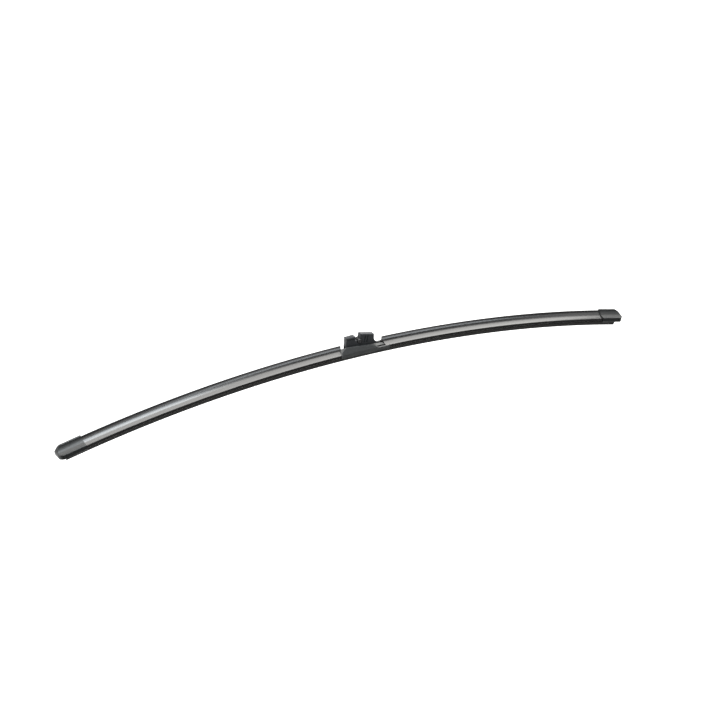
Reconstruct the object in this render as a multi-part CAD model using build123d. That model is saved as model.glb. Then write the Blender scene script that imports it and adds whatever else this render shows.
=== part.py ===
from build123d import *
import os
from math import atan2, cos, degrees, hypot, radians, sin, tan

# Flat wiper blade in its free, bowed shape. Millimetres.
# Origin: middle of the pivot rivet's axis. +X along the blade, -Y the side with the
# spoiler's low edge, +Z away from the glass.

# Whole blade
BLADE_LEN = 650.0  # along the bow, over both end caps
BOW_R = 1460.0  # radius of the free bow at the rails' mid-plane
PIVOT_H = 11.3  # rivet axis above the rails' mid-plane

# Spring rails, one each side of the rubber's neck
RAIL_T = 0.9
RAIL_W = 4.0
RAIL_INNER = 1.2  # inner edge from the blade's middle plane
RAIL_SHORT = 9.0  # rail end to blade end
RAIL_NOTCH_L = 3.0
RAIL_NOTCH_D = 0.8

# Wiping rubber
RUBBER_SHORT = 7.2  # rubber end to blade end
RUBBER_CLEAR = 0.05  # rubber groove to rail
HEAD_HALF = 2.6
HEAD_H = 0.9  # above the rail groove
NECK_HALF = 1.0
BODY_HALF = 3.2
BODY_H = 2.0  # below the rail groove
BODY_BEVEL = 0.6
WEB_HALF = 0.55
WEB_H = 0.9  # the thin web that lets the lip flop over
SHOULDER_HALF = 2.1
SHOULDER_H = 0.6
LIP_H = 4.0
LIP_EDGE = 0.8  # width of the wiping edge

# Spoiler extrusion
SPOILER_HALF = 6.4
SPOILER_EDGE_Z = 1.4  # low front edge above the rails' mid-plane
SPOILER_TOP_Z = 7.4
SPOILER_LIP_Y = 3.6  # middle of the fin's tip
SPOILER_LIP_W = 0.9
FACE_SAG = 1.2  # how hollow the front face is
BACK_SAG = 0.7  # how hollow the back face is
CLAW_T = 0.75  # claw under each rail
CLAW_SLOT_HALF = 3.6
FIT = 0.1  # spoiler to rail, head and cap

# Spoiler ends at the connector, and at the caps
LEFT_GAP = -18.2  # at the fin's tip
LEFT_MITRE = 23.0  # plan angle of the left spoiler's cut end
RIGHT_GAP = 28.6
SPOILER_SHORT = 7.0  # spoiler end to blade end, inside the cap

# End caps
CAP_LEN = 28.0
CAP_WALL = 1.0
CAP_CLEAR = 0.2
CAP_LIP_H = 0.9  # how far the cap reaches below the claws
CAP_SLOT_HALF = 3.7
NOSE_TOP_R = 9.0
NOSE_FRONT_R = 7.0
NOSE_REAR_R = 1.0
NOSE_FOOT_R = 1.2

# Connector base
BASE_LEFT = -22.5
BASE_RIGHT = 32.0
BASE_HALF = 7.6
BASE_INNER = 6.7  # inner face of the tabs beside the spoiler ends
BASE_SKIRT = 1.9  # below the rails' mid-plane
SHOULDER_Z = -9.4  # top of the upright sides, where the shoulders start
RIDGE_HALF = 4.9  # half-width across the shoulders' top
RIDGE_LEFT_X = -16.2
LEFT_END_Z = -7.6  # top of the left end
LEFT_BACK_X = -13.9  # left end of the rear shoulder
LEFT_SLANT = 34.0  # plan angle of the left end
RIDGE_LEFT_Z = -3.6
RIDGE_RIGHT_X = 14.5
RIDGE_RIGHT_Z = -6.6
TAIL_Z = -10.1
RIGHT_RUN = 5.0
FLARE_R = 4.0
RIDGE_R = 2.4
END_R = 0.8
DECK_T = 1.0
DECK_CLEAR = 0.25  # deck and channel to the rubber
BASE_END_GAP = 0.3  # base to spoiler ends
SLOT_RIGHT = 23.0
SHOULDER_R = 1.2

# Pivot: lug on the base, riveted between the adaptor's two cheeks
RIVET_R = 1.5
RIVET_SEAT = 0.02
RIVET_HEAD_R = 2.1
RIVET_HEAD_T = 0.6
RIVET_HEAD_BEVEL = 0.35
RIVET_HEAD_CLEAR = 0.1
PIVOT_CLEAR = 0.05
LUG_R = 2.4
LUG_T = 2.4
LUG_FOOT = 3.4
ROCK_DOWN = 16.0  # how far the blade's right end rocks down, and up
ROCK_UP = 4.0
ROCK_CLEAR = 0.6  # lug to the clevis's ends at those limits

# Adaptor, drawn level and then turned on the rivet
ADAPTOR_TILT = 12.0
ADAPTOR_HALF = 3.0
ADAPTOR_CLEAR = 0.3  # to the base's slot and lug
BOSS_R = 2.5
PLUG_TOP = 7.2
PLUG_LEFT = -0.1
PLUG_RIGHT = 15.5
PLUG_HEEL_X = 16.7
PLUG_HEEL_Z = 1.2
FOOT_X = 20.8
FOOT_Z = -1.7
FOOT_T = 1.0
KEEL_X = 9.0
KEEL_Z = -4.6
BELLY_X = -1.5
BELLY_Z = -6.4
POST_LEFT_LOW = -13.8
POST_LOW = -7.4
POST_LEFT_TOP = -15.9
POST_LEFT_Z = 1.9
POST_CREST_X = -5.8
POST_CREST_Z = 4.5
NOTCH_X = -5.0
NOTCH_Z = 0.1
POST_LIP = 0.7  # thumb lip that overhangs the post's end
POST_LIP_H = 1.3
GROOVE_W = 1.2
GROOVE_DEPTH = 0.9
GROOVE_FIRST = 5.6
GROOVE_PITCH = 3.0
GROOVE_COUNT = 2
GROOVE_LOW = -1.5
GROOVE_TOP_GAP = 1.6
PAD_DROP = 2.2  # side groove below the post's sloping top
PAD_RUN = 7.6
PAD_GROOVE_W = 0.8
PAD_GROOVE_DEPTH = 0.5
RIB_COUNT = 4
RIB_FIRST = 1.6  # thumb ribs, from the post's end along its top
RIB_PITCH = 2.1
RIB_W = 0.9
RIB_H = 0.4
RIB_HALF = 2.3
EDGE_BEVEL = 0.4

RAILS_Z = -PIVOT_H
BOW_AXIS = Axis((0, 0, RAILS_Z - BOW_R), (0, 1, 0))
SECTION = Plane(origin=(0, 0, RAILS_Z), x_dir=(0, 1, 0), z_dir=(1, 0, 0))
SIDE = Plane.XZ
HALF_LEN = BLADE_LEN / 2
RAIL_OUTER = RAIL_INNER + RAIL_W
GROOVE_HALF_H = RAIL_T / 2 + RUBBER_CLEAR
CLAW_LOW = -RAIL_T / 2 - FIT - CLAW_T
DECK_Z = RAILS_Z + GROOVE_HALF_H + HEAD_H + DECK_CLEAR + DECK_T
POST_SLOPE = atan2(POST_CREST_Z - POST_LEFT_Z, POST_CREST_X - POST_LEFT_TOP)


def station(shape, s):
    """Carry a shape from the blade's middle along the bow to station s."""
    return shape.rotate(BOW_AXIS, degrees(s / BOW_R))


def along_bow(section, s0, s1):
    """Sweep a cross-section along the bow from station s0 to s1."""
    start = station(SECTION * section, s0)
    return revolve(start, BOW_AXIS, degrees((s1 - s0) / BOW_R))


def outline(points):
    """Closed face through the points."""
    return make_face(Polyline(*points, close=True))


def mirrored(points):
    """Right-hand half of a section, top to bottom, and its mirror image."""
    return points + [(-y, z) for y, z in reversed(points)]


def block(x0, x1, y0, y1, z0, z1):
    """Box between two corners."""
    middle = Pos((x0 + x1) / 2, (y0 + y1) / 2, (z0 + z1) / 2)
    return middle * Box(x1 - x0, y1 - y0, z1 - z0)


def cross_rod(r, x, z, y0, y1):
    """Round rod across the blade between y0 and y1."""
    return Pos(x, (y0 + y1) / 2, z) * Rot(90, 0, 0) * Cylinder(r, y1 - y0)


def both_sides(make):
    """The same feature at the front and at the back."""
    return make(-1) + make(1)


def left_of(x, y, slant, z):
    """Everything above z and left of an upright plane through (x, y), turned by slant."""
    size = BLADE_LEN
    return Pos(x, y, z) * Rot(0, 0, -slant) * block(-size, 0, -size, size, 0, size)


def rubber_section():
    top = GROOVE_HALF_H + HEAD_H
    body = -GROOVE_HALF_H - BODY_H
    shoulder = body - WEB_H
    lip = shoulder - SHOULDER_H
    half = [
        (HEAD_HALF, top),
        (HEAD_HALF, GROOVE_HALF_H),
        (NECK_HALF, GROOVE_HALF_H),
        (NECK_HALF, -GROOVE_HALF_H),
        (BODY_HALF, -GROOVE_HALF_H),
        (BODY_HALF, body + BODY_BEVEL),
        (BODY_HALF - BODY_BEVEL, body),
        (WEB_HALF, body),
        (WEB_HALF, shoulder),
        (SHOULDER_HALF, shoulder),
        (SHOULDER_HALF, lip),
        (LIP_EDGE / 2, lip - LIP_H),
    ]
    return outline(mirrored(half))


def rail_section(side):
    middle = side * (RAIL_INNER + RAIL_W / 2)
    return Pos(middle, 0) * Rectangle(RAIL_W, RAIL_T)


def hollow_line(a, b, sag):
    """Arc from a to b that bows in to its right-hand side by sag."""
    run = (b[0] - a[0], b[1] - a[1])
    length = hypot(*run)
    middle = ((a[0] + b[0]) / 2, (a[1] + b[1]) / 2)
    low = (middle[0] + sag * run[1] / length, middle[1] - sag * run[0] / length)
    return ThreePointArc(a, low, b)


def spoiler_outline():
    """Outer outline of the wedge: low front edge, hollow face, fin at the back."""
    front_low = (-SPOILER_HALF, CLAW_LOW)
    front_edge = (-SPOILER_HALF, SPOILER_EDGE_Z)
    tip_z = SPOILER_TOP_Z - SPOILER_LIP_W / 2
    tip_front = (SPOILER_LIP_Y - SPOILER_LIP_W / 2, tip_z)
    tip_top = (SPOILER_LIP_Y, SPOILER_TOP_Z)
    tip_back = (SPOILER_LIP_Y + SPOILER_LIP_W / 2, tip_z)
    back_edge = (SPOILER_HALF, SPOILER_EDGE_Z)
    back_low = (SPOILER_HALF, CLAW_LOW)
    edges = [
        Line(front_low, front_edge),
        hollow_line(front_edge, tip_front, FACE_SAG),
        ThreePointArc(tip_front, tip_top, tip_back),
        hollow_line(tip_back, back_edge, BACK_SAG),
        Line(back_edge, back_low),
        Line(back_low, front_low),
    ]
    return make_face(edges)


def spoiler_section():
    rail_half = RAIL_T / 2 + FIT
    head_top = GROOVE_HALF_H + HEAD_H + FIT
    half = [
        (HEAD_HALF + FIT, head_top),
        (HEAD_HALF + FIT, rail_half),
        (RAIL_OUTER + FIT, rail_half),
        (RAIL_OUTER + FIT, -rail_half),
        (CLAW_SLOT_HALF, -rail_half),
        (CLAW_SLOT_HALF, CLAW_LOW - CLAW_T),
    ]
    return spoiler_outline() - outline(mirrored(half))


def left_spoiler(end):
    """Left extrusion, its inner end cut at a slant."""
    strip = along_bow(spoiler_section(), end, LEFT_GAP + SPOILER_HALF)
    return strip & left_of(LEFT_GAP, SPOILER_LIP_Y, LEFT_MITRE, -HALF_LEN)


def rail(side):
    end = HALF_LEN - RAIL_SHORT
    strip = along_bow(rail_section(side), -end, end)
    notch_s = HALF_LEN - CAP_LEN / 2
    y = side * RAIL_OUTER
    notch = block(
        -RAIL_NOTCH_L / 2, RAIL_NOTCH_L / 2,
        y - RAIL_NOTCH_D, y + RAIL_NOTCH_D,
        RAILS_Z - RAIL_T, RAILS_Z + RAIL_T,
    )
    return strip - station(notch, notch_s) - station(notch, -notch_s)


def end_cap():
    """Right-hand cap, drawn straight about the blade's middle."""
    half = CAP_LEN / 2
    shell = offset(spoiler_outline(), CAP_CLEAR + CAP_WALL, kind=Kind.ARC)
    room = offset(spoiler_outline(), CAP_CLEAR, kind=Kind.ARC)
    top = SPOILER_TOP_Z + CAP_CLEAR + CAP_WALL
    low = CLAW_LOW - CAP_LIP_H
    wide = SPOILER_HALF + CAP_CLEAR + CAP_WALL
    form = extrude(SECTION * shell, half, both=True)
    side = outline([(-half, low), (half, low), (half, top), (-half, top)])
    nose = side.vertices().group_by(Axis.X)[-1].sort_by(Axis.Y)
    side = fillet(nose[1], NOSE_TOP_R)
    foot = side.vertices().group_by(Axis.Y)[0].sort_by(Axis.X)[-1]
    side = fillet(foot, NOSE_FOOT_R)
    form &= Pos(0, 0, RAILS_Z) * extrude(SIDE * side, wide, both=True)
    plan = Rectangle(CAP_LEN, 2 * wide)
    front, rear = plan.vertices().group_by(Axis.X)[-1].sort_by(Axis.Y)
    plan = fillet(front, NOSE_FRONT_R)
    rear = plan.vertices().sort_by_distance((half, wide, 0))[0]
    plan = fillet(rear, NOSE_REAR_R)
    form &= Pos(0, 0, RAILS_Z + low) * extrude(plan, top - low)
    depth = CAP_LEN - min(RUBBER_SHORT, SPOILER_SHORT) + CAP_CLEAR
    pocket = Pos(-half, 0, 0) * extrude(SECTION * room, depth)
    slot_top = RAILS_Z + CLAW_LOW
    slot = block(-half, depth - half, -CAP_SLOT_HALF, CAP_SLOT_HALF, RAILS_Z + low, slot_top)
    return form - pocket - slot


def channel_section():
    """Room that the base leaves for the rails and the rubber."""
    rail_half = RAIL_T / 2 + FIT
    half = [
        (HEAD_HALF + DECK_CLEAR, GROOVE_HALF_H + HEAD_H + DECK_CLEAR),
        (HEAD_HALF + DECK_CLEAR, rail_half),
        (RAIL_OUTER + FIT, rail_half),
        (RAIL_OUTER + FIT, -rail_half),
        (BODY_HALF + DECK_CLEAR, -rail_half),
        (BODY_HALF + DECK_CLEAR, -2 * BASE_SKIRT),
    ]
    return outline(mirrored(half))


def base_side():
    """Side view of the base: ridge that falls to the right, low tail over the rails."""
    low = RAILS_Z - BASE_SKIRT
    shape = outline([
        (BASE_LEFT, low),
        (BASE_RIGHT, low),
        (BASE_RIGHT, TAIL_Z),
        (RIDGE_RIGHT_X + RIGHT_RUN, TAIL_Z),
        (RIDGE_RIGHT_X, RIDGE_RIGHT_Z),
        (RIDGE_LEFT_X, RIDGE_LEFT_Z),
        (BASE_LEFT, LEFT_END_Z),
    ])
    ends = shape.vertices().group_by(Axis.X)
    shape = fillet(ends[0] + ends[-1], END_R)
    foot = shape.vertices().sort_by_distance((RIDGE_RIGHT_X + RIGHT_RUN, TAIL_Z, 0))[0]
    shape = fillet(foot, FLARE_R)
    crest = shape.vertices().sort_by_distance((RIDGE_LEFT_X, RIDGE_LEFT_Z, 0))[0]
    return fillet(crest, RIDGE_R)


def base_section():
    """Across the base: upright sides, then shoulders that lean in to the ridge."""
    top = max(RIDGE_LEFT_Z, RIDGE_RIGHT_Z)
    half = [
        (RIDGE_HALF, top),
        (BASE_HALF, SHOULDER_Z),
        (BASE_HALF, RAILS_Z - BASE_SKIRT),
    ]
    section = outline(mirrored(half))
    sides = section.vertices().sort_by(Axis.X)
    shoulders = (sides[:2] + sides[-2:]).group_by(Axis.Y)[-1]
    return fillet(shoulders, SHOULDER_R)


def lug():
    """Lug that stands on the base's deck and carries the rivet."""
    flank = outline([(-LUG_FOOT, DECK_Z), (LUG_FOOT, DECK_Z), (LUG_R, 0), (-LUG_R, 0)])
    return extrude(SIDE * (flank + Circle(LUG_R)), LUG_T / 2, both=True)


def base():
    """Moulded base: clasps on the rails, shouldered body, slot and lug for the adaptor."""
    low = RAILS_Z - BASE_SKIRT
    above = LUG_R
    slot_half = ADAPTOR_HALF + ADAPTOR_CLEAR
    between_tabs = block(2 * BASE_LEFT, 0, -BASE_INNER, BASE_INNER, low, above)
    form = Plane.YZ.offset(BASE_LEFT) * base_section()
    form = extrude(form, BASE_RIGHT - BASE_LEFT)
    form &= extrude(SIDE * base_side(), BASE_HALF, both=True)
    form -= block(BASE_LEFT, SLOT_RIGHT, -slot_half, slot_half, DECK_Z, above)
    form -= left_of(LEFT_BACK_X, RIDGE_HALF, LEFT_SLANT, TAIL_Z)
    form -= left_of(LEFT_GAP + BASE_END_GAP, SPOILER_LIP_Y, LEFT_MITRE, low) & between_tabs
    right = RIGHT_GAP - BASE_END_GAP
    form -= block(right, BASE_RIGHT, -BASE_INNER, BASE_INNER, low, above)
    tail = RIDGE_RIGHT_X + RIGHT_RUN
    rail_edge = RAIL_OUTER + FIT
    form -= block(tail, right, -rail_edge, rail_edge, RAILS_Z, above)
    form += lug()
    form -= along_bow(channel_section(), BASE_LEFT, BASE_RIGHT)
    return form - cross_rod(RIVET_R + RIVET_SEAT, 0, 0, -LUG_T, LUG_T)


def rivet_head(side):
    """Low bevelled head outside one of the adaptor's cheeks."""
    inner = ADAPTOR_HALF + RIVET_HEAD_CLEAR
    head = cross_rod(RIVET_HEAD_R, 0, 0, inner, inner + RIVET_HEAD_T)
    rim = head.edges().filter_by(GeomType.CIRCLE).sort_by(Axis.Y)[-1]
    head = chamfer(rim, RIVET_HEAD_BEVEL)
    return head if side > 0 else mirror(head, Plane.XZ)


def rivet():
    """Rivet through the lug and both cheeks, with a head at each end."""
    half = ADAPTOR_HALF + RIVET_HEAD_CLEAR
    return cross_rod(RIVET_R, 0, 0, -half, half) + both_sides(rivet_head)


def adaptor_side():
    """Side view of the adaptor: plug for the arm, notch for its bar, latch post."""
    body = outline([
        (POST_LEFT_LOW, POST_LOW),
        (POST_LEFT_TOP + POST_LIP, POST_LEFT_Z - POST_LIP_H),
        (POST_LEFT_TOP, POST_LEFT_Z - POST_LIP),
        (POST_LEFT_TOP, POST_LEFT_Z),
        (POST_CREST_X, POST_CREST_Z),
        (NOTCH_X, NOTCH_Z),
        (PLUG_LEFT, NOTCH_Z),
        (PLUG_LEFT, PLUG_TOP),
        (PLUG_RIGHT, PLUG_TOP),
        (PLUG_HEEL_X, PLUG_HEEL_Z),
        (FOOT_X, FOOT_Z),
        (FOOT_X, FOOT_Z - FOOT_T),
        (KEEL_X, KEEL_Z),
        (BELLY_X, BELLY_Z),
    ])
    heel = body.vertices().sort_by_distance((PLUG_HEEL_X, PLUG_HEEL_Z, 0))[0]
    return fillet(heel, FLARE_R) + Circle(BOSS_R)


def clevis():
    """Room for the lug between the adaptor's cheeks, at both ends of its rocking."""
    top = LUG_R + ROCK_CLEAR
    foot = LUG_FOOT + ROCK_CLEAR
    left = foot - DECK_Z * tan(radians(ROCK_DOWN - ADAPTOR_TILT))
    right = foot - DECK_Z * tan(radians(ROCK_UP + ADAPTOR_TILT))
    room = outline([(-left, DECK_Z), (right, DECK_Z), (top, 0), (-top, 0)])
    room += Circle(LUG_R + ADAPTOR_CLEAR)
    return extrude(SIDE * room, LUG_T / 2 + ADAPTOR_CLEAR, both=True)


def on_post(along, drop):
    """Place on the post's sloping top, or below it, turned with the slope."""
    x = POST_LEFT_TOP + along * cos(POST_SLOPE) + drop * sin(POST_SLOPE)
    z = POST_LEFT_Z + along * sin(POST_SLOPE) - drop * cos(POST_SLOPE)
    return Pos(x, 0, z) * Rot(0, -degrees(POST_SLOPE), 0)


def adaptor():
    """Adaptor, level, with grooved sides, thumb ribs and the clevis for the lug."""
    form = extrude(SIDE * adaptor_side(), ADAPTOR_HALF, both=True)
    form = chamfer(form.faces().filter_by(Axis.Y).edges(), EDGE_BEVEL)
    for face in (-ADAPTOR_HALF, ADAPTOR_HALF):
        for i in range(GROOVE_COUNT):
            x = GROOVE_FIRST + i * GROOVE_PITCH
            form -= block(
                x - GROOVE_W / 2, x + GROOVE_W / 2,
                face - GROOVE_DEPTH, face + GROOVE_DEPTH,
                GROOVE_LOW, PLUG_TOP - GROOVE_TOP_GAP,
            )
        line = Pos(0, face, 0) * Box(PAD_RUN, 2 * PAD_GROOVE_DEPTH, PAD_GROOVE_W)
        form -= on_post(RIB_FIRST + PAD_RUN / 2, PAD_DROP) * line
    for i in range(RIB_COUNT):
        rib = Box(RIB_W, 2 * RIB_HALF, 2 * RIB_H)
        form += on_post(RIB_FIRST + i * RIB_PITCH, 0) * rib
    form -= clevis()
    return form - cross_rod(RIVET_R + PIVOT_CLEAR, 0, 0, -ADAPTOR_HALF, ADAPTOR_HALF)


def turned(shape):
    """Turn a piece of the adaptor on the rivet to its place at rest."""
    return shape.rotate(Axis.Y, ADAPTOR_TILT)


os.makedirs("parts", exist_ok=True)
rubber_end = HALF_LEN - RUBBER_SHORT
spoiler_end = HALF_LEN - SPOILER_SHORT
parts = {
    "wiping_rubber": along_bow(rubber_section(), -rubber_end, rubber_end),
    "front_spring_rail": rail(-1),
    "rear_spring_rail": rail(1),
    "left_spoiler": left_spoiler(-spoiler_end),
    "right_spoiler": along_bow(spoiler_section(), RIGHT_GAP, spoiler_end),
}
cap = end_cap()
parts["right_end_cap"] = station(cap, HALF_LEN - CAP_LEN / 2)
parts["left_end_cap"] = station(mirror(cap, Plane.YZ), CAP_LEN / 2 - HALF_LEN)
parts["connector_base"] = base()
parts["pivot_rivet"] = rivet()
parts["adaptor_body"] = turned(adaptor())
for name, solid in parts.items():
    export_step(solid, f"parts/{name}.step")
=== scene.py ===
from contextlib import contextmanager
from math import atan2, cos, hypot, pi, radians, sin

import bmesh
import bpy
from bpy.props import FloatProperty, FloatVectorProperty, IntProperty, PointerProperty
from bpy.types import Operator, Panel, PropertyGroup
from mathutils import Matrix, Vector


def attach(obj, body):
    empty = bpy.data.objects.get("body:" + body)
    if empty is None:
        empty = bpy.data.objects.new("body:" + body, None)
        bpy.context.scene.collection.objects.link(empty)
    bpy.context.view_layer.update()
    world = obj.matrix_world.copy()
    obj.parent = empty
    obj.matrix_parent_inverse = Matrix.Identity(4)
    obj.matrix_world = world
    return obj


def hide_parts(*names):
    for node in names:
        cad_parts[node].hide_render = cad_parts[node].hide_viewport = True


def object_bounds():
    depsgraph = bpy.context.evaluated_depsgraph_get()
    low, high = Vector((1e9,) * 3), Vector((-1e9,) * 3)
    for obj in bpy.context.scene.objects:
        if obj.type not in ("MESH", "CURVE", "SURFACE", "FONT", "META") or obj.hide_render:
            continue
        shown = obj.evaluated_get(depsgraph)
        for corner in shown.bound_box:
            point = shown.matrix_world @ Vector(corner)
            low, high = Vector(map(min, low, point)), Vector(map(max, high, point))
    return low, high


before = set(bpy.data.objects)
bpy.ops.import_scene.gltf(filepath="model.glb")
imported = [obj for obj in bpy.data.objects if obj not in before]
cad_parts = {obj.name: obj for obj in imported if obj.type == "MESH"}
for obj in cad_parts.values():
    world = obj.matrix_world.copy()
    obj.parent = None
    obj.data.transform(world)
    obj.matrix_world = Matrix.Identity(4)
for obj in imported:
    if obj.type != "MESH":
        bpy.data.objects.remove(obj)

bl_info = {
    "name": "Flat wiper blade",
    "version": (1, 0, 0),
    "blender": (4, 5, 0),
    "location": "View3D > Sidebar > Wiper",
    "description": "Dresses the packed wiper blade and sets up its studio",
    "category": "Add Mesh",
}

CAD_BOX = [list(corner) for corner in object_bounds()]
MM = 0.001
SAME_POINT = 0.0001 * MM  # points closer than this are one
SLIVER = 0.001 * MM  # faces thinner than this are dropped from a moulding
EXTRUDED_CREASE = 32  # degrees between faces from which shading keeps a crease
MOULDED_CREASE = 40
FACE_STEPS = 26  # points along the arcs of the spoiler's section
CREST_STEPS = 8
BACK_STEPS = 12
CORNER_SHARE = 0.45  # most of an edge that the rounding of one corner takes up
RIVET_STEPS = 48  # sides of the turned rivet
SENSOR_MM = 36  # width of the camera's sensor

# Waves per metre along X, Y and Z of the patterns in the finishes.
DIE_LINES = (3, 1400, 60)
DIE_RELIEF = (5, 2600, 2600)
SPOILER_CLOUDS = (14, 60, 60)
RUBBER_DUST = (60, 2400, 2400)
RUBBER_RELIEF = (700, 3000, 3000)
PLASTIC_GRAIN = (1900, 1900, 1900)
PLASTIC_CLOUDS = (90, 90, 90)
ROLLED_LINES = (4, 1800, 1800)
DRAWN_LINES = (900, 40, 900)

# Black flags in the studio, in metres. The drape hangs at DRAPE_Y from a top edge of (x, z) points and
# ends in a foot of (y, height) points along the floor. The board is flat.
DRAPE_TOP = ((-0.9, 1.35), (0.15, 1.35), (0.5, 0.85), (1.1, 0.85), (1.4, 1.6), (2.4, 1.9))
DRAPE_FOOT = ((-0.1, 0.0), (-0.7, 0.0), (-0.95, 0.1))
DRAPE_Y = -1.0
BOARD_X = (0.4, 1.7)
BOARD_Y = (-0.62, -0.1)
BOARD_Z = 1.5
FLAG_ABOVE_FLOOR = 0.004


def length(name, description, default_mm):
    """Length property, given in millimetres and stored in metres."""
    return FloatProperty(
        name=name, description=description, default=default_mm * MM, unit="LENGTH", precision=5
    )


def angle(name, description, default_degrees):
    """Angle property, given in degrees and stored in radians."""
    return FloatProperty(
        name=name, description=description, default=radians(default_degrees), subtype="ANGLE"
    )


def level(name, description, default):
    """Strength property, 0 or more."""
    return FloatProperty(name=name, description=description, default=default, min=0)


def metres(name, description, default):
    """Place or size property of two or three lengths in metres."""
    return FloatVectorProperty(
        name=name, description=description, default=default, size=len(default), unit="LENGTH"
    )


def colour(name, description, default):
    """Surface colour property."""
    return FloatVectorProperty(
        name=name, description=description, default=default, subtype="COLOR", size=3, min=0, max=1
    )


class WiperBowSizes(PropertyGroup):
    """The bow that every long piece follows, and where the pieces start and end on it."""

    radius: length("Bow radius", "Free bow at the rails' mid-plane", 1460)
    pivot_height: length("Pivot height", "Rivet axis above the rails' mid-plane", 11.3)
    half: length("Half length", "Middle to end, along the bow", 325)
    spoiler_short: length("Spoiler short", "Spoiler end to blade end", 7)
    rubber_short: length("Rubber short", "Rubber end to blade end", 7.2)
    left_gap: length("Left gap", "Left spoiler's inner end, at the fin's tip", -18.2)
    left_mitre: angle("Left mitre", "Plan angle of the left spoiler's cut end", 23)
    right_gap: length("Right gap", "Right spoiler's inner end, along the bow", 28.6)
    stations: IntProperty(
        name="Stations", description="Rings along each swept piece", default=160, min=8, max=600
    )


class WiperSpoilerSizes(PropertyGroup):
    """Cross-section of the spoiler extrusion, about the rails' mid-plane."""

    half: length("Half width", "Middle plane to the sides", 6.4)
    edge: length("Edge height", "Low front edge", 1.4)
    top: length("Fin height", "Top of the fin", 7.4)
    fin: length("Fin place", "Fin's middle behind the middle plane", 3.6)
    fin_width: length("Fin width", "Thickness at the fin's tip", 0.9)
    face_sag: length("Face hollow", "Depth of the front face's hollow", 1.2)
    back_sag: length("Back hollow", "Depth of the back face's hollow", 0.7)
    claw: length("Claw depth", "Claws' underside below the mid-plane", 1.3)
    mouth: length("Mouth", "Half width between the claws", 3.6)
    rail_room: length("Rail room", "Half height of the rail channel", 0.55)
    rail_reach: length("Rail reach", "Half width of the rail channel", 5.3)
    head_room: length("Head room", "Top of the rubber head's channel", 1.5)
    head_reach: length("Head reach", "Half width of the head's channel", 2.7)
    corner: length("Corner radius", "Rounding of the extrusion's corners", 0.25)


class WiperRubberSizes(PropertyGroup):
    """Cross-section of the wiping rubber, about the rails' mid-plane."""

    head_half: length("Head", "Half width of the head", 2.6)
    head_top: length("Head top", "Top of the head", 1.4)
    groove: length("Groove", "Half height of the rail groove", 0.5)
    neck_half: length("Neck", "Half width of the neck", 1.0)
    body_half: length("Body", "Half width of the body", 3.2)
    body_low: length("Body underside", "Underside of the body, downwards", 2.5)
    bevel: length("Bevel", "Bevel on the body's lower corners", 0.6)
    web_half: length("Web", "Half width of the tilting web", 0.55)
    shoulder_top: length("Shoulder top", "Top of the lip's shoulder, downwards", 3.4)
    shoulder_low: length("Shoulder underside", "Underside of the shoulder, downwards", 4.0)
    shoulder_half: length("Shoulder", "Half width of the lip's shoulder", 2.1)
    lip_low: length("Wiping edge", "Depth of the wiping edge, downwards", 8.0)
    lip_edge: length("Edge width", "Width of the wiping edge", 0.8)
    corner: length("Corner radius", "Rounding of the rubber's corners", 0.18)


class WiperConnectorSizes(PropertyGroup):
    """Finishing sizes of the moulded pieces and the rivet."""

    bevel: length("Moulded edge", "Softened edge of the base and caps", 0.25)
    adaptor_bevel: length("Adaptor edge", "Softened edge of the adaptor's ribs and grooves", 0.1)
    # Painted shade: how far from the pivot's axis the mouldings are darkened.
    painted_shade: length("Painted shade", "How far the pivot's grease darkens the mouldings", 3.3)
    rivet_radius: length("Rivet radius", "Shank of the rivet", 1.5)
    rivet_inner: length("Head inner face", "Middle plane to a head's inner face", 3.1)
    rivet_outer: length("Head outer face", "Middle plane to a head's outer face", 3.7)
    rivet_head: length("Head radius", "Radius of the rivet's heads", 2.1)
    rivet_round: length("Head rounding", "Rounded rim of the rivet's heads", 0.35)
    rivet_dimple: length("Head dimple", "Radius of the punch mark in each head", 0.7)
    dimple_depth: length("Dimple depth", "Depth of the punch mark in each head", 0.14)


class WiperColours(PropertyGroup):
    """Colours of the finishes."""

    spoiler: colour("Spoiler", "Satin black extrusion", (0.018, 0.0175, 0.0178))
    rubber: colour("Rubber", "Matte black wiping rubber", (0.027, 0.0235, 0.0205))
    lip: colour("Lip", "Graphite coating on the lip", (0.0105, 0.01, 0.0095))
    # Painted highlight: the colour laid on the top of the rubber's head, for the light it reflects there.
    head_highlight: colour("Painted highlight", "Talc left on the rubber's head", (0.2, 0.2, 0.195))
    cap: colour("Caps", "Dark grey moulded caps", (0.031, 0.033, 0.033))
    base: colour("Base", "Dark grey moulded base", (0.085, 0.087, 0.087))
    adaptor: colour("Adaptor", "Blue-black moulded adaptor", (0.055, 0.057, 0.062))
    steel: colour("Steel", "Rolled spring steel", (0.42, 0.42, 0.43))
    floor: colour("Floor", "Studio floor", (0.9, 0.9, 0.9))
    flag: colour("Flags", "Black cloth of the studio's flags", (0.12, 0.12, 0.12))


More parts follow.
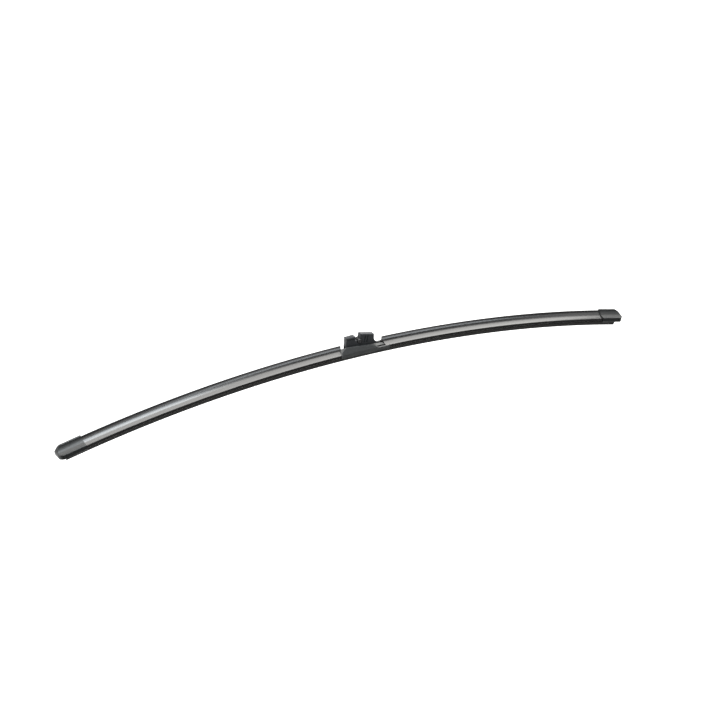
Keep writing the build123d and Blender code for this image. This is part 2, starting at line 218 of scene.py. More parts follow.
class WiperStudio(PropertyGroup):
    """Camera, floor and lamps."""

    focal: FloatProperty(name="Lens", description="Focal length in millimetres", default=99.49, min=1)
    distance: length("Distance", "Camera to the blade's middle", 1988.94)
    azimuth: angle("Azimuth", "Camera's turn round the blade", -28.908)
    elevation: angle("Elevation", "Camera's height angle", 25.334)
    roll: angle("Roll", "Camera's turn about its own axis", -0.11)
    aim_height: length("Aim height", "Height of the point the camera aims at", -9.9)
    shift_x: FloatProperty(name="Shift across", description="Lens shift across", default=0.00246)
    shift_y: FloatProperty(name="Shift up", description="Lens shift up", default=-0.01582)
    floor_drop: length("Floor drop", "Floor below the lowest point of the blade", 250)
    floor_half: length("Floor half", "Middle of the floor to its sides", 4000)
    floor_lift: level("Floor lift", "Lifts the seen floor to white", 0.9)
    floor_glint: level("Floor glint", "Lifts the mirrored floor", 0.4)
    fill: level("Fill", "Even light from all round", 0.18)
    key_place: metres("Softbox place", "Middle of the large softbox", (0.55, 0.455, 1.0))
    key_size: metres("Softbox size", "Length and width of the large softbox", (2.0, 1.04))
    key_turn: angle("Softbox turn", "Turn of the large softbox in its own plane", 16)
    key_radiance: level("Softbox", "Radiance of the large softbox", 3.0)
    left_place: metres("Left place", "Middle of the left softbox", (-0.25, -0.12, 1.08))
    left_size: metres("Left size", "Length and width of the left softbox", (0.6, 0.5))
    left_radiance: level("Left softbox", "Radiance of the left softbox", 5.5)
    strip_place: metres("Strip place", "Middle of the strip lamp", (0.7, -0.66, 1.2))
    strip_size: metres("Strip size", "Length and width of the strip lamp", (1.3, 0.2))
    strip_radiance: level("Strip", "Radiance of the strip lamp", 3.0)
    warm: colour("Warm lamp", "Tint of the large softbox", (1.0, 0.985, 0.945))
    cool: colour("Cool lamps", "Tint of the left softbox and the strip", (0.87, 0.945, 1.0))


def settings(context):
    """All property groups of the add-on."""
    return context.scene.wiper_blade


def link_object(name, mesh):
    """New object at the origin that shows the mesh."""
    made = bpy.data.objects.new(name, mesh)
    bpy.context.scene.collection.objects.link(made)
    return made


def mesh_from(bm, name):
    """Mesh datablock from a bmesh, which is freed."""
    mesh = bpy.data.meshes.new(name)
    bm.to_mesh(mesh)
    bm.free()
    return mesh


@contextmanager
def edited(mesh):
    """Bmesh of a mesh, which goes back into it at the end."""
    bm = bmesh.new()
    bm.from_mesh(mesh)
    yield bm
    bm.to_mesh(mesh)
    bm.free()


def bake_modifiers(made):
    """Replace an object's mesh by its evaluated one, with no modifier left."""
    graph = bpy.context.evaluated_depsgraph_get()
    mesh = bpy.data.meshes.new_from_object(made.evaluated_get(graph))
    made.modifiers.clear()
    old = made.data
    made.data = mesh
    mesh.name = made.name
    bpy.data.meshes.remove(old)


def shade(mesh, sharp_degrees):
    """Smooth shading with creases kept at sharper angles."""
    mesh.shade_smooth()
    mesh.set_sharp_from_angle(angle=radians(sharp_degrees))


def finish_piece(piece, body, slot, *nodes):
    """Attach a finished piece to its body and hide the nodes it stands for. The slot is not used."""
    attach(piece, body)
    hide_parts(*nodes)


def arc_through(a, middle, b, steps):
    """Points on the circle from a to b, both included, through the middle point."""
    ax, ay = a
    bx, by = middle
    cx, cy = b
    d = 2 * (ax * (by - cy) + bx * (cy - ay) + cx * (ay - by))
    a2, b2, c2 = ax * ax + ay * ay, bx * bx + by * by, cx * cx + cy * cy
    ux = (a2 * (by - cy) + b2 * (cy - ay) + c2 * (ay - by)) / d
    uy = (a2 * (cx - bx) + b2 * (ax - cx) + c2 * (bx - ax)) / d
    radius = hypot(ax - ux, ay - uy)
    start = atan2(ay - uy, ax - ux)
    via = (atan2(by - uy, bx - ux) - start) % (2 * pi)
    turn = (atan2(cy - uy, cx - ux) - start) % (2 * pi)
    if via > turn:
        turn -= 2 * pi
    angles = (start + turn * i / steps for i in range(steps + 1))
    return [(ux + radius * cos(t), uy + radius * sin(t)) for t in angles]


def hollow(a, b, sag, steps):
    """Arc from a to b that bows in to its right-hand side by sag."""
    run = (b[0] - a[0], b[1] - a[1])
    size = hypot(*run)
    middle = ((a[0] + b[0]) / 2 + sag * run[1] / size, (a[1] + b[1]) / 2 - sag * run[0] / size)
    return arc_through(a, middle, b, steps)


def soften(corners, radius, steps=3):
    """Closed outline with its marked corners rounded. A corner is (y, z, round it or not)."""
    out = []
    count = len(corners)
    for i, (y, z, rounded) in enumerate(corners):
        if not rounded:
            out.append((y, z))
            continue
        here = Vector((y, z))
        before = Vector(corners[i - 1][:2]) - here
        after = Vector(corners[(i + 1) % count][:2]) - here
        first = here + before.normalized() * min(radius, before.length * CORNER_SHARE)
        last = here + after.normalized() * min(radius, after.length * CORNER_SHARE)
        for k in range(steps + 1):
            t = k / steps
            point = first * (1 - t) ** 2 + here * 2 * t * (1 - t) + last * t ** 2
            out.append((point.x, point.y))
    return out


def marked(points):
    """Corners to be rounded."""
    return [(y, z, True) for y, z in points]


def plain(points):
    """Points of a curve, kept as they are."""
    return [(y, z, False) for y, z in points]


def mirrored(points):
    """Right-hand half of a section, top to bottom, and its mirror image."""
    return points + [(-y, z) for y, z in reversed(points)]


def spoiler_outline(s):
    """Closed outline of the spoiler extrusion with its rail and head channels."""
    tip = s.top - s.fin_width / 2
    front = hollow((-s.half, s.edge), (s.fin - s.fin_width / 2, tip), s.face_sag, FACE_STEPS)
    crest = arc_through(front[-1], (s.fin, s.top), (s.fin + s.fin_width / 2, tip), CREST_STEPS)
    back = hollow(crest[-1], (s.half, s.edge), s.back_sag, BACK_STEPS)
    channel = mirrored([
        (s.head_reach, s.head_room),
        (s.head_reach, s.rail_room),
        (s.rail_reach, s.rail_room),
        (s.rail_reach, -s.rail_room),
        (s.mouth, -s.rail_room),
        (s.mouth, -s.claw),
    ])
    half = len(channel) // 2
    inner = list(reversed(channel[:half])) + list(reversed(channel[half:]))
    corners = marked([(-s.half, -s.claw), front[0]])
    corners += plain(front[1:] + crest[1:] + back[1:-1])
    corners += marked([back[-1], (s.half, -s.claw)] + inner)
    return soften(corners, s.corner)


def rubber_outline(r):
    """Closed outline of the wiping rubber."""
    half = [
        (r.head_half, r.head_top),
        (r.head_half, r.groove),
        (r.neck_half, r.groove),
        (r.neck_half, -r.groove),
        (r.body_half, -r.groove),
        (r.body_half, r.bevel - r.body_low),
        (r.body_half - r.bevel, -r.body_low),
        (r.web_half, -r.body_low),
        (r.web_half, -r.shoulder_top),
        (r.shoulder_half, -r.shoulder_top),
        (r.shoulder_half, -r.shoulder_low),
        (r.lip_edge / 2, -r.lip_low),
    ]
    return soften(marked(mirrored(half)), r.corner)


def outline_object(name, points):
    """Flat closed wire through the points, as the sweep's section."""
    bm = bmesh.new()
    ring = [bm.verts.new((y, z, 0)) for y, z in points]
    for i, vert in enumerate(ring):
        bm.edges.new((ring[i - 1], vert))
    return link_object(name, mesh_from(bm, name))


def new_tree(name, inputs):
    """Geometry node tree with a geometry input, the given inputs and a geometry output."""
    tree = bpy.data.node_groups.new(name, "GeometryNodeTree")
    tree.interface.new_socket("Geometry", in_out="INPUT", socket_type="NodeSocketGeometry")
    for label, kind in inputs:
        tree.interface.new_socket(label, in_out="INPUT", socket_type=kind)
    tree.interface.new_socket("Geometry", in_out="OUTPUT", socket_type="NodeSocketGeometry")
    return tree


def math_node(tree, operation, a, b):
    """Math node between two sockets or numbers."""
    node = tree.nodes.new("ShaderNodeMath")
    node.operation = operation
    for socket, value in zip(node.inputs, (a, b)):
        if isinstance(value, (int, float)):
            socket.default_value = value
        else:
            tree.links.new(value, socket)
    return node.outputs[0]


def bow_sweep_tree():
    """Sweep a flat section along the bow between two stations, with its height kept as an attribute."""
    tree = new_tree("Bow sweep", [
        ("Bow Radius", "NodeSocketFloat"),
        ("Pivot Height", "NodeSocketFloat"),
        ("Start", "NodeSocketFloat"),
        ("End", "NodeSocketFloat"),
        ("Stations", "NodeSocketInt"),
        ("Material", "NodeSocketMaterial"),
    ])
    nodes, links = tree.nodes, tree.links
    given = nodes.new("NodeGroupInput").outputs
    radius = given["Bow Radius"]
    arc = nodes.new("GeometryNodeCurveArc")
    arc.mode = "RADIUS"
    links.new(given["Stations"], arc.inputs["Resolution"])
    links.new(radius, arc.inputs["Radius"])
    start = math_node(tree, "SUBTRACT", pi / 2, math_node(tree, "DIVIDE", given["Start"], radius))
    run = math_node(tree, "SUBTRACT", given["Start"], given["End"])
    links.new(start, arc.inputs["Start Angle"])
    links.new(math_node(tree, "DIVIDE", run, radius), arc.inputs["Sweep Angle"])
    place = nodes.new("GeometryNodeTransform")
    place.inputs["Rotation"].default_value = (pi / 2, 0, 0)
    centre = nodes.new("ShaderNodeCombineXYZ")
    drop = math_node(tree, "ADD", radius, given["Pivot Height"])
    links.new(math_node(tree, "MULTIPLY", drop, -1.0), centre.inputs["Z"])
    links.new(centre.outputs["Vector"], place.inputs["Translation"])
    links.new(arc.outputs["Curve"], place.inputs["Geometry"])
    upright = nodes.new("GeometryNodeSetCurveNormal")
    upright.mode = "Z_UP"
    links.new(place.outputs["Geometry"], upright.inputs["Curve"])
    section = nodes.new("GeometryNodeMeshToCurve")
    links.new(given["Geometry"], section.inputs["Mesh"])
    height = nodes.new("GeometryNodeStoreNamedAttribute")
    height.data_type = "FLOAT"
    height.domain = "POINT"
    height.inputs["Name"].default_value = "section_height"
    place_in_section = nodes.new("ShaderNodeSeparateXYZ")
    links.new(nodes.new("GeometryNodeInputPosition").outputs[0], place_in_section.inputs[0])
    links.new(section.outputs["Curve"], height.inputs["Geometry"])
    links.new(place_in_section.outputs["Y"], height.inputs["Value"])
    turned = nodes.new("GeometryNodeTransform")
    turned.inputs["Rotation"].default_value = (0, 0, pi)
    links.new(height.outputs["Geometry"], turned.inputs["Geometry"])
    sweep = nodes.new("GeometryNodeCurveToMesh")
    sweep.inputs["Fill Caps"].default_value = True
    links.new(upright.outputs["Curve"], sweep.inputs["Curve"])
    links.new(turned.outputs["Geometry"], sweep.inputs["Profile Curve"])
    return close_tree(tree, sweep.outputs["Mesh"], given["Material"])


def close_tree(tree, geometry, material):
    """Realize the instances, set the material and lead to the tree's output."""
    real = tree.nodes.new("GeometryNodeRealizeInstances")
    dressed = tree.nodes.new("GeometryNodeSetMaterial")
    out = tree.nodes.new("NodeGroupOutput")
    tree.links.new(geometry, real.inputs["Geometry"])
    tree.links.new(real.outputs["Geometry"], dressed.inputs["Geometry"])
    tree.links.new(material, dressed.inputs["Material"])
    tree.links.new(dressed.outputs["Geometry"], out.inputs["Geometry"])
    return tree


def run_tree(made, tree, values):
    """Give an object a node tree with the named inputs, and keep its result as a plain mesh."""
    modifier = made.modifiers.new(tree.name, "NODES")
    modifier.node_group = tree
    for item in tree.interface.items_tree:
        if item.item_type == "SOCKET" and item.in_out == "INPUT" and item.name in values:
            modifier[item.identifier] = values[item.name]
    bake_modifiers(made)


def swept(name, points, bow, start, end, stations, material):
    """Piece that follows the bow from one station to another."""
    made = outline_object(name, points)
    tree = bpy.data.node_groups.get("Bow sweep") or bow_sweep_tree()
    run_tree(made, tree, {
        "Bow Radius": bow.radius,
        "Pivot Height": bow.pivot_height,
        "Start": start,
        "End": end,
        "Stations": stations,
        "Material": material,
    })
    with edited(made.data) as bm:
        turn_outward(bm)
    shade(made.data, EXTRUDED_CREASE)
    return made


def turn_outward(bm):
    """Merge doubles and turn every face outwards."""
    bmesh.ops.remove_doubles(bm, verts=bm.verts, dist=SAME_POINT)
    bmesh.ops.recalc_face_normals(bm, faces=bm.faces)


def cut_upright(mesh, place, slant):
    """Cut a closed mesh at an upright plane through (x, y), turned by slant, and close its left part."""
    with edited(mesh) as bm:
        cut = bmesh.ops.bisect_plane(
            bm,
            geom=bm.verts[:] + bm.edges[:] + bm.faces[:],
            dist=SAME_POINT,
            plane_co=(*place, 0),
            plane_no=(cos(slant), -sin(slant), 0),
            clear_outer=True,
        )
        rim = [item for item in cut["geom_cut"] if isinstance(item, bmesh.types.BMEdge)]
        bmesh.ops.contextual_create(bm, geom=rim)
        bmesh.ops.recalc_face_normals(bm, faces=bm.faces)


def drop_slivers(bm):
    """Merge vertices that nearly meet, and drop the faces that are flat after it."""
    bmesh.ops.remove_doubles(bm, verts=bm.verts, dist=SLIVER)
    bmesh.ops.dissolve_degenerate(bm, dist=SLIVER / 2, edges=bm.edges)


def mark_skin_edges(bm, smooth, sharp):
    """Give a bevel weight to the sharp edges of the smooth skin that the highest face is part of."""
    weight = bm.edges.layers.float.new("bevel_weight_edge")
    top = max(bm.faces, key=lambda face: face.calc_center_median().z)
    skin = {top}
    fresh = [top]
    while fresh:
        for edge in fresh.pop().edges:
            if edge.calc_face_angle(pi) < smooth:
                found = [face for face in edge.link_faces if face not in skin]
                skin.update(found)
                fresh.extend(found)
    for edge in bm.edges:
        if edge.calc_face_angle(0) > sharp and skin.intersection(edge.link_faces):
            edge[weight] = 1.0


def softened_copy(node, name, bevel, finishes, skin_only=False):
    """Copy of a solid with its moulded edges rounded. The finishes are the walls' and the edges'.

    A bevel is no wider than the shortest edge beside it allows, so a cap, with fine edges in its
    pocket, has its bevel on the outer skin's edges alone.
    """
    flat, sharp, skin_sharp = radians(0.5), radians(35), radians(50)
    bm = bmesh.new()
    bm.from_mesh(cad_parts[node].data)
    drop_slivers(bm)
    bmesh.ops.dissolve_limit(bm, angle_limit=flat, verts=bm.verts, edges=bm.edges)
    if skin_only:
        mark_skin_edges(bm, sharp, skin_sharp)
    made = link_object(name, mesh_from(bm, name))
    for finish in finishes:
        made.data.materials.append(finish)
    edge = made.modifiers.new("Moulded edge", "BEVEL")
    edge.width = bevel
    edge.segments = 2
    edge.limit_method = "WEIGHT" if skin_only else "ANGLE"
    edge.angle_limit = sharp
    edge.material = 1
    bake_modifiers(made)
    with edited(made.data) as bm:
        drop_slivers(bm)
    shade(made.data, MOULDED_CREASE)
    even = made.modifiers.new("Even shading", "WEIGHTED_NORMAL")
    even.keep_sharp = True
    bake_modifiers(made)
    return made


def lathe_across(name, profile, steps):
    """Line of (radius, y) points, from axis to axis, turned about the rivet's axis."""
    bm = bmesh.new()
    rings = []
    for i in range(steps):
        turn = 2 * pi * i / steps
        rings.append([bm.verts.new((r * cos(turn), y, r * sin(turn))) for r, y in profile])
    for i, ring in enumerate(rings):
        last = rings[i - 1]
        for k in range(1, len(profile)):
            bm.faces.new((last[k - 1], last[k], ring[k], ring[k - 1]))
    turn_outward(bm)
    return link_object(name, mesh_from(bm, name))


class Finish:
    """Material under construction: one Principled shader fed by patterns on Object coordinates."""

    def __init__(self, name, base, roughness, specular=0.5, metallic=0.0):
        self.material = bpy.data.materials.new(name)
        self.material.use_nodes = True
        self.tree = self.material.node_tree
        self.shader = self.tree.nodes["Principled BSDF"]
        self.base = (*base, 1.0)
        self.shader.inputs["Base Color"].default_value = self.base
        self.shader.inputs["Roughness"].default_value = roughness
        self.shader.inputs["Specular IOR Level"].default_value = specular
        self.shader.inputs["Metallic"].default_value = metallic
        self.material.diffuse_color = self.base
        self.coords = self.tree.nodes.new("ShaderNodeTexCoord").outputs["Object"]
        self.last_bump = None

    def noise(self, waves, detail):
        """Noise with its own count of waves per metre along X, Y and Z."""
        mapping = self.tree.nodes.new("ShaderNodeMapping")
        mapping.inputs["Scale"].default_value = waves
        self.tree.links.new(self.coords, mapping.inputs["Vector"])
        noise = self.tree.nodes.new("ShaderNodeTexNoise")
        noise.inputs["Scale"].default_value = 1.0
        noise.inputs["Detail"].default_value = detail
        self.tree.links.new(mapping.outputs["Vector"], noise.inputs["Vector"])
        return noise.outputs["Fac"]

    def from_pivot(self):
        """Distance from the pivot's axis, which runs along Y through the origin."""
        flat = self.tree.nodes.new("ShaderNodeVectorMath")
        flat.operation = "MULTIPLY"
        flat.inputs[1].default_value = (1, 0, 1)
        self.tree.links.new(self.coords, flat.inputs[0])
        size = self.tree.nodes.new("ShaderNodeVectorMath")
        size.operation = "LENGTH"
        self.tree.links.new(flat.outputs["Vector"], size.inputs[0])
        return size.outputs["Value"]

    def attribute(self, name):
        """Value of a named attribute of the mesh."""
        node = self.tree.nodes.new("ShaderNodeAttribute")
        node.attribute_name = name
        return node.outputs["Fac"]

    def ranged(self, value, low, high, to_low, to_high):
        """Value mapped from one range to another, held at the ends."""
        node = self.tree.nodes.new("ShaderNodeMapRange")
        self.tree.links.new(value, node.inputs["Value"])
        ends = {"From Min": low, "From Max": high, "To Min": to_low, "To Max": to_high}
        for label, number in ends.items():
            node.inputs[label].default_value = number
        return node.outputs["Result"]

    def tint(self, factor, colour_b):
        """Base colour that goes from what it is to another colour with the factor."""
        node = self.tree.nodes.new("ShaderNodeMix")
        node.data_type = "RGBA"
        socket = self.shader.inputs["Base Color"]
        if socket.is_linked:
            self.tree.links.new(socket.links[0].from_socket, node.inputs["A"])
        else:
            node.inputs["A"].default_value = self.base
        node.inputs["B"].default_value = (*colour_b, 1.0)
        self.tree.links.new(factor, node.inputs["Factor"])
        self.tree.links.new(node.outputs["Result"], socket)

    def rough(self, value):
        """Roughness from a pattern."""
        self.tree.links.new(value, self.shader.inputs["Roughness"])

    def bump(self, value, strength, depth):
        """Surface relief from a pattern, laid over any earlier relief."""
        node = self.tree.nodes.new("ShaderNodeBump")
        node.inputs["Strength"].default_value = strength
        node.inputs["Distance"].default_value = depth
        self.tree.links.new(value, node.inputs["Height"])
        if self.last_bump:
            self.tree.links.new(self.last_bump, node.inputs["Normal"])
        self.last_bump = node.outputs["Normal"]
        self.tree.links.new(self.last_bump, self.shader.inputs["Normal"])


def shift(base, factor):
    """Colour made lighter or darker by a factor."""
    return tuple(min(1.0, c * factor) for c in base)


def extruded_black(colours):
    """Satin black extrusion with fine die lines along its length."""
    finish = Finish("spoiler_satin_black", colours.spoiler, 0.2, specular=1.0)
    lines = finish.noise(DIE_LINES, detail=5)
    clouds = finish.noise(SPOILER_CLOUDS, detail=3)
    finish.rough(finish.ranged(lines, 0.3, 0.7, 0.16, 0.24))
    finish.tint(finish.ranged(clouds, 0.35, 0.7, 0, 1), shift(colours.spoiler, 1.35))
    finish.bump(finish.noise(DIE_RELIEF, detail=2), 0.12, 0.02 * MM)
    return finish.material


def wiping_black(colours, rubber):
    """Matte black rubber with a graphite coating towards the wiping edge, and a painted highlight on the
    top of its head.
    """
    finish = Finish("wiping_rubber_black", colours.rubber, 0.55, specular=0.22)
    height = finish.attribute("section_height")
    coat = finish.ranged(height, -rubber.shoulder_low, -rubber.shoulder_low - 0.8 * MM, 0, 1)
    finish.tint(coat, colours.lip)
    # Painted highlight: the top of the head is tinted light.
    head_highlight = finish.ranged(height, rubber.head_top - 0.3 * MM, rubber.head_top - 0.1 * MM, 0, 1)
    finish.tint(head_highlight, colours.head_highlight)
    dust = finish.noise(RUBBER_DUST, detail=4)
    finish.rough(finish.ranged(dust, 0.3, 0.7, 0.45, 0.68))
    finish.tint(finish.ranged(dust, 0.62, 0.8, 0, 0.6), shift(colours.lip, 1.8))
    finish.bump(finish.noise(RUBBER_RELIEF, detail=2), 0.15, 0.03 * MM)
    return finish.material


def moulded(name, base, roughness, specular, relief, edge, painted_shade=None):
    """Finishes of a moulding's walls, with a fine grain, and of its smoother edges, whose colour the edge
    factor scales: lighter with wear above 1, and darker as painted shade below 1.
    """
    return (
        grained(f"{name}_grained", base, roughness, specular, relief, painted_shade),
        grained(f"{name}_edge", shift(base, edge), roughness - 0.1, specular, relief / 3, painted_shade),
    )


def grained(name, base, roughness, specular, relief, painted_shade):
    """Plastic with clouds of slightly different gloss and a fine grain, and painted shade that darkens it
    near the pivot's axis.
    """
    finish = Finish(name, base, roughness, specular=specular)
    grain = finish.noise(PLASTIC_GRAIN, detail=2)
    clouds = finish.noise(PLASTIC_CLOUDS, detail=4)
    finish.rough(finish.ranged(clouds, 0.3, 0.7, roughness * 0.92, roughness * 1.08))
    finish.tint(finish.ranged(clouds, 0.4, 0.75, 0, 1), shift(base, 1.2))
    finish.tint(finish.ranged(grain, 0.5, 0.75, 0, 0.6), shift(base, 1.6))
    finish.bump(grain, relief, 0.05 * MM)
    # Painted shade: within this reach of the pivot's axis the colour darkens to a quarter.
    if painted_shade:
        near = finish.ranged(finish.from_pivot(), painted_shade * 0.8, painted_shade, 1, 0)
        finish.tint(near, shift(base, 0.25))
    return finish.material


def drawn_steel(name, base, waves, roughness):
    """Steel with lines along the way it was rolled or drawn."""
    finish = Finish(name, base, roughness, metallic=1.0)
    lines = finish.noise(waves, detail=5)
    finish.rough(finish.ranged(lines, 0.3, 0.7, roughness - 0.08, roughness + 0.12))
    finish.tint(finish.ranged(lines, 0.4, 0.7, 0, 1), shift(base, 0.55))
    finish.bump(lines, 0.08, 0.02 * MM)
    return finish.material


class WIPER_OT_spoilers(Operator):
    """Sweep both spoiler extrusions along the bow"""

    bl_idname = "wiper.spoilers"
    bl_label = "Spoilers"

    def execute(self, context):
        given = settings(context)
        bow = given.bow
        points = spoiler_outline(given.spoiler)
        black = extruded_black(given.colours)
        end = bow.half - bow.spoiler_short
        past_cut = bow.left_gap + given.spoiler.half
        for side, start, stop in (("left", -end, past_cut), ("right", bow.right_gap, end)):
            piece = swept(f"{side}_spoiler_extrusion", points, bow, start, stop, bow.stations, black)
            if side == "left":
                cut_upright(piece.data, (bow.left_gap, given.spoiler.fin), bow.left_mitre)
                shade(piece.data, EXTRUDED_CREASE)
            finish_piece(piece, "blade", "spoiler", f"{side}_spoiler")
        return {"FINISHED"}


class WIPER_OT_rubber(Operator):
    """Sweep the wiping rubber along the bow"""

    bl_idname = "wiper.rubber"
    bl_label = "Wiping rubber"

    def execute(self, context):
        given = settings(context)
        bow = given.bow
        end = bow.half - bow.rubber_short
        black = wiping_black(given.colours, given.rubber)
        points = rubber_outline(given.rubber)
        piece = swept("wiping_rubber_strip", points, bow, -end, end, 2 * bow.stations, black)
        finish_piece(piece, "blade", "wiping_rubber", "wiping_rubber")
        return {"FINISHED"}


class WIPER_OT_rails(Operator):
    """Give the spring rails their rolled steel"""

    bl_idname = "wiper.rails"
    bl_label = "Spring rails"

    def execute(self, context):
        steel = drawn_steel("rail_rolled_steel", settings(context).colours.steel, ROLLED_LINES, 0.3)
        for node in ("front_spring_rail", "rear_spring_rail"):
            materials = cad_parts[node].data.materials
            materials.clear()
            materials.append(steel)
        return {"FINISHED"}


class WIPER_OT_end_caps(Operator):
    """Round the end caps' moulded edges and give them their grain"""

    bl_idname = "wiper.end_caps"
    bl_label = "End caps"

    def execute(self, context):
        given = settings(context)
        bevel = given.connector.bevel
        # The caps' edge factor of 0.7 is painted shade: their rims are darker, chiefly for the shadow line
        # where each cap meets its spoiler.
        grey = moulded("cap_grey", given.colours.cap, roughness=0.29, specular=0.45, relief=0.25, edge=0.7)
        for side in ("left", "right"):
            node = f"{side}_end_cap"
            piece = softened_copy(node, f"{side}_cap_moulding", bevel, grey, skin_only=True)
            finish_piece(piece, "blade", "end_cap", node)
        return {"FINISHED"}


class WIPER_OT_connector(Operator):
    """Round the connector's moulded edges and give it its grain"""

    bl_idname = "wiper.connector"
    bl_label = "Connector base and adaptor"

    def execute(self, context):
        c = settings(context).connector
        colours = settings(context).colours
        grey = moulded(
            "base_grey",
            colours.base,
            roughness=0.5,
            specular=0.45,
            relief=0.6,
            edge=1.3,
            painted_shade=c.painted_shade,
        )
        base = softened_copy("connector_base", "base_moulding", c.bevel, grey)
        finish_piece(base, "blade", "connector", "connector_base")
        black = moulded(
            "adaptor_black",
            colours.adaptor,
            roughness=0.42,
            specular=0.4,
            relief=0.6,
            edge=2.0,
            painted_shade=c.painted_shade,
        )
        adaptor = softened_copy("adaptor_body", "adaptor_moulding", c.adaptor_bevel, black)
        finish_piece(adaptor, "adaptor", "adaptor", "adaptor_body")
        return {"FINISHED"}


class WIPER_OT_rivet(Operator):
    """Turn the rivet with its two low heads"""

    bl_idname = "wiper.rivet"
    bl_label = "Pivot rivet"

    def execute(self, context):
        given = settings(context)
        c = given.connector
        dimple = c.rivet_outer - c.dimple_depth
        half = [
            (c.rivet_dimple / 2, dimple, False),
            (c.rivet_dimple, c.rivet_outer, True),
            (c.rivet_head, c.rivet_outer, True),
            (c.rivet_head, c.rivet_inner, False),
            (c.rivet_radius, c.rivet_inner, False),
        ]
        far_half = [(r, -y, rounded) for r, y, rounded in reversed(half)]
        profile = [(0, dimple, False)] + half + far_half + [(0, -dimple, False)]
        piece = lathe_across("rivet_turned", soften(profile, c.rivet_round, steps=4), RIVET_STEPS)
        steel = drawn_steel("rivet_drawn_steel", shift(given.colours.steel, 0.8), DRAWN_LINES, 0.5)
        piece.data.materials.append(steel)
        shade(piece.data, MOULDED_CREASE)
        finish_piece(piece, "blade", "rivet_steel", "pivot_rivet")
        return {"FINISHED"}


def seen_by_viewer(tree):
    """Two sockets: 1 for rays from the camera, and 1 for rays that reflections and glass send on."""
    rays = tree.nodes.new("ShaderNodeLightPath").outputs
    mirrored_ray = math_node(tree, "MAXIMUM", rays["Is Glossy Ray"], rays["Is Transmission Ray"])
    return rays["Is Camera Ray"], mirrored_ray


def area_lamp(name, place, size, radiance, tint, turn=0.0):
    """Rectangular lamp that faces the blade's line. Its length is along X, but for a turn in its plane."""
    data = bpy.data.lights.new(name, "AREA")
    data.shape = "RECTANGLE"
    data.size, data.size_y = size
    data.energy = radiance * pi * data.size * data.size_y
    data.color = tint
    lamp = bpy.data.objects.new(name, data)
    bpy.context.scene.collection.objects.link(lamp)
    back = Vector((0, place[1], place[2])).normalized()
    across = Vector((1, 0, 0))
    facing = Matrix((across, back.cross(across), back)).transposed()
    lamp.matrix_world = Matrix.Translation(place) @ (facing @ Matrix.Rotation(turn, 3, "Z")).to_4x4()


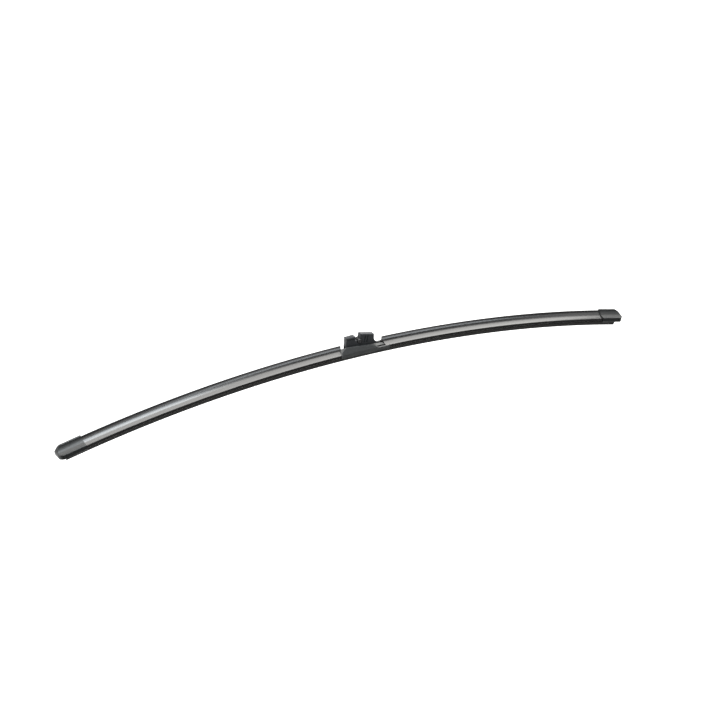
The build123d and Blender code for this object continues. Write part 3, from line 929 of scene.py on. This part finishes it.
class WIPER_OT_stage(Operator):
    """Set up the floor, the world, the lamps and the camera"""

    bl_idname = "wiper.stage"
    bl_label = "Studio"

    def execute(self, context):
        given = settings(context)
        studio = given.studio
        self.make_floor(studio, given.colours)
        self.make_world(context.scene, studio)
        self.make_lamps(studio)
        self.make_flags(studio, given.colours)
        self.make_camera(context.scene, studio)
        context.scene.view_settings.view_transform = "Standard"
        return {"FINISHED"}

    def make_floor(self, studio, colours):
        """Pale floor under the blade."""
        bm = bmesh.new()
        bmesh.ops.create_grid(bm, x_segments=1, y_segments=1, size=studio.floor_half)
        bmesh.ops.translate(bm, verts=bm.verts, vec=(0, 0, CAD_BOX[0][2] - studio.floor_drop))
        floor = link_object("studio_floor", mesh_from(bm, "studio_floor"))
        material = bpy.data.materials.new("studio_floor_white")
        material.use_nodes = True
        tree = material.node_tree
        tree.nodes.remove(tree.nodes["Principled BSDF"])
        matte = tree.nodes.new("ShaderNodeBsdfDiffuse")
        matte.inputs["Color"].default_value = (*colours.floor, 1.0)
        glow = tree.nodes.new("ShaderNodeEmission")
        direct, mirrored_ray = seen_by_viewer(tree)
        lift = math_node(tree, "MULTIPLY", direct, studio.floor_lift)
        glint = math_node(tree, "MULTIPLY", mirrored_ray, studio.floor_glint)
        tree.links.new(math_node(tree, "MAXIMUM", lift, glint), glow.inputs["Strength"])
        both = tree.nodes.new("ShaderNodeAddShader")
        tree.links.new(matte.outputs[0], both.inputs[0])
        tree.links.new(glow.outputs[0], both.inputs[1])
        tree.links.new(both.outputs[0], tree.nodes["Material Output"].inputs["Surface"])
        floor.data.materials.append(material)

    def make_lamps(self, s):
        """Warm softbox overhead, and a cool softbox and strip for the left side and the front."""
        area_lamp("overhead_softbox", s.key_place, s.key_size, s.key_radiance, s.warm, s.key_turn)
        area_lamp("left_softbox", s.left_place, s.left_size, s.left_radiance, s.cool)
        area_lamp("front_strip", s.strip_place, s.strip_size, s.strip_radiance, s.cool)

    def make_flags(self, studio, colours):
        """Black drape in front and black board overhead, as a photographer hangs them."""
        low = CAD_BOX[0][2] - studio.floor_drop + FLAG_ABOVE_FLOOR
        cloth = Finish("flag_black", colours.flag, 0.9, specular=0.1)
        drape = []
        for x, top in DRAPE_TOP:
            drape.append([(x, y, low + height) for y, height in DRAPE_FOOT] + [(x, DRAPE_Y, top)])
        board = [[(x, y, BOARD_Z) for y in BOARD_Y] for x in BOARD_X]
        for name, columns in (("black_drape", drape), ("black_board", board)):
            self.make_flag(name, columns, cloth.material)

    def make_flag(self, name, columns, material):
        """Sheet through columns of points that only reflections see."""
        bm = bmesh.new()
        rows = [[bm.verts.new(point) for point in column] for column in columns]
        for left, right in zip(rows, rows[1:]):
            for k in range(len(left) - 1):
                bm.faces.new((left[k], right[k], right[k + 1], left[k + 1]))
        flag = link_object(name, mesh_from(bm, name))
        flag.data.materials.append(material)
        for ray in ("camera", "diffuse", "transmission", "volume_scatter", "shadow"):
            setattr(flag, f"visible_{ray}", False)

    def make_world(self, scene, studio):
        """White surroundings for the viewer, with a low even light on the blade."""
        world = bpy.data.worlds.new("studio_world")
        scene.world = world
        world.use_nodes = True
        tree = world.node_tree
        fill = tree.nodes["Background"]
        fill.inputs["Color"].default_value = (1, 1, 1, 1)
        direct, mirrored_ray = seen_by_viewer(tree)
        seen = math_node(tree, "MAXIMUM", direct, mirrored_ray)
        strength = math_node(tree, "MAXIMUM", seen, studio.fill)
        tree.links.new(strength, fill.inputs["Strength"])

    def make_camera(self, scene, studio):
        """Camera at the photograph's angle."""
        data = bpy.data.cameras.new("photo_camera")
        data.sensor_width = SENSOR_MM
        data.lens = studio.focal
        data.shift_x = studio.shift_x
        data.shift_y = studio.shift_y
        camera = bpy.data.objects.new("photo_camera", data)
        scene.collection.objects.link(camera)
        out = cos(studio.elevation)
        back = Vector((
            sin(studio.azimuth) * out,
            -cos(studio.azimuth) * out,
            sin(studio.elevation),
        ))
        camera.location = back * studio.distance + Vector((0, 0, studio.aim_height))
        unrolled = (-back).to_track_quat("-Z", "Y").to_matrix()
        camera.rotation_euler = (unrolled @ Matrix.Rotation(studio.roll, 3, "Z")).to_euler()
        scene.camera = camera


class WiperBlade(PropertyGroup):
    """Everything that a user may change."""

    bow: PointerProperty(type=WiperBowSizes)
    spoiler: PointerProperty(type=WiperSpoilerSizes)
    rubber: PointerProperty(type=WiperRubberSizes)
    connector: PointerProperty(type=WiperConnectorSizes)
    colours: PointerProperty(type=WiperColours)
    studio: PointerProperty(type=WiperStudio)


STEPS = (
    WIPER_OT_spoilers,
    WIPER_OT_rubber,
    WIPER_OT_rails,
    WIPER_OT_end_caps,
    WIPER_OT_connector,
    WIPER_OT_rivet,
    WIPER_OT_stage,
)


class WIPER_PT_panel(Panel):
    """Buttons and sizes of the wiper blade"""

    bl_idname = "WIPER_PT_panel"
    bl_label = "Wiper blade"
    bl_space_type = "VIEW_3D"
    bl_region_type = "UI"
    bl_category = "Wiper"

    def draw(self, context):
        given = settings(context)
        for step in STEPS:
            self.layout.operator(step.bl_idname)
        for group_name in given.__annotations__:
            group = getattr(given, group_name)
            box = self.layout.box()
            for name in group.__annotations__:
                box.prop(group, name)


CLASSES = (
    WiperBowSizes,
    WiperSpoilerSizes,
    WiperRubberSizes,
    WiperConnectorSizes,
    WiperColours,
    WiperStudio,
    WiperBlade,
    *STEPS,
    WIPER_PT_panel,
)


def register():
    for cls in CLASSES:
        bpy.utils.register_class(cls)
    bpy.types.Scene.wiper_blade = PointerProperty(type=WiperBlade)


def unregister():
    del bpy.types.Scene.wiper_blade
    for cls in reversed(CLASSES):
        bpy.utils.unregister_class(cls)


def main():
    """Dress the blade and set up the studio."""
    register()
    bpy.ops.wiper.spoilers()
    bpy.ops.wiper.rubber()
    bpy.ops.wiper.rails()
    bpy.ops.wiper.end_caps()
    bpy.ops.wiper.connector()
    bpy.ops.wiper.rivet()
    bpy.ops.wiper.stage()


if __name__ == "__main__":
    main()
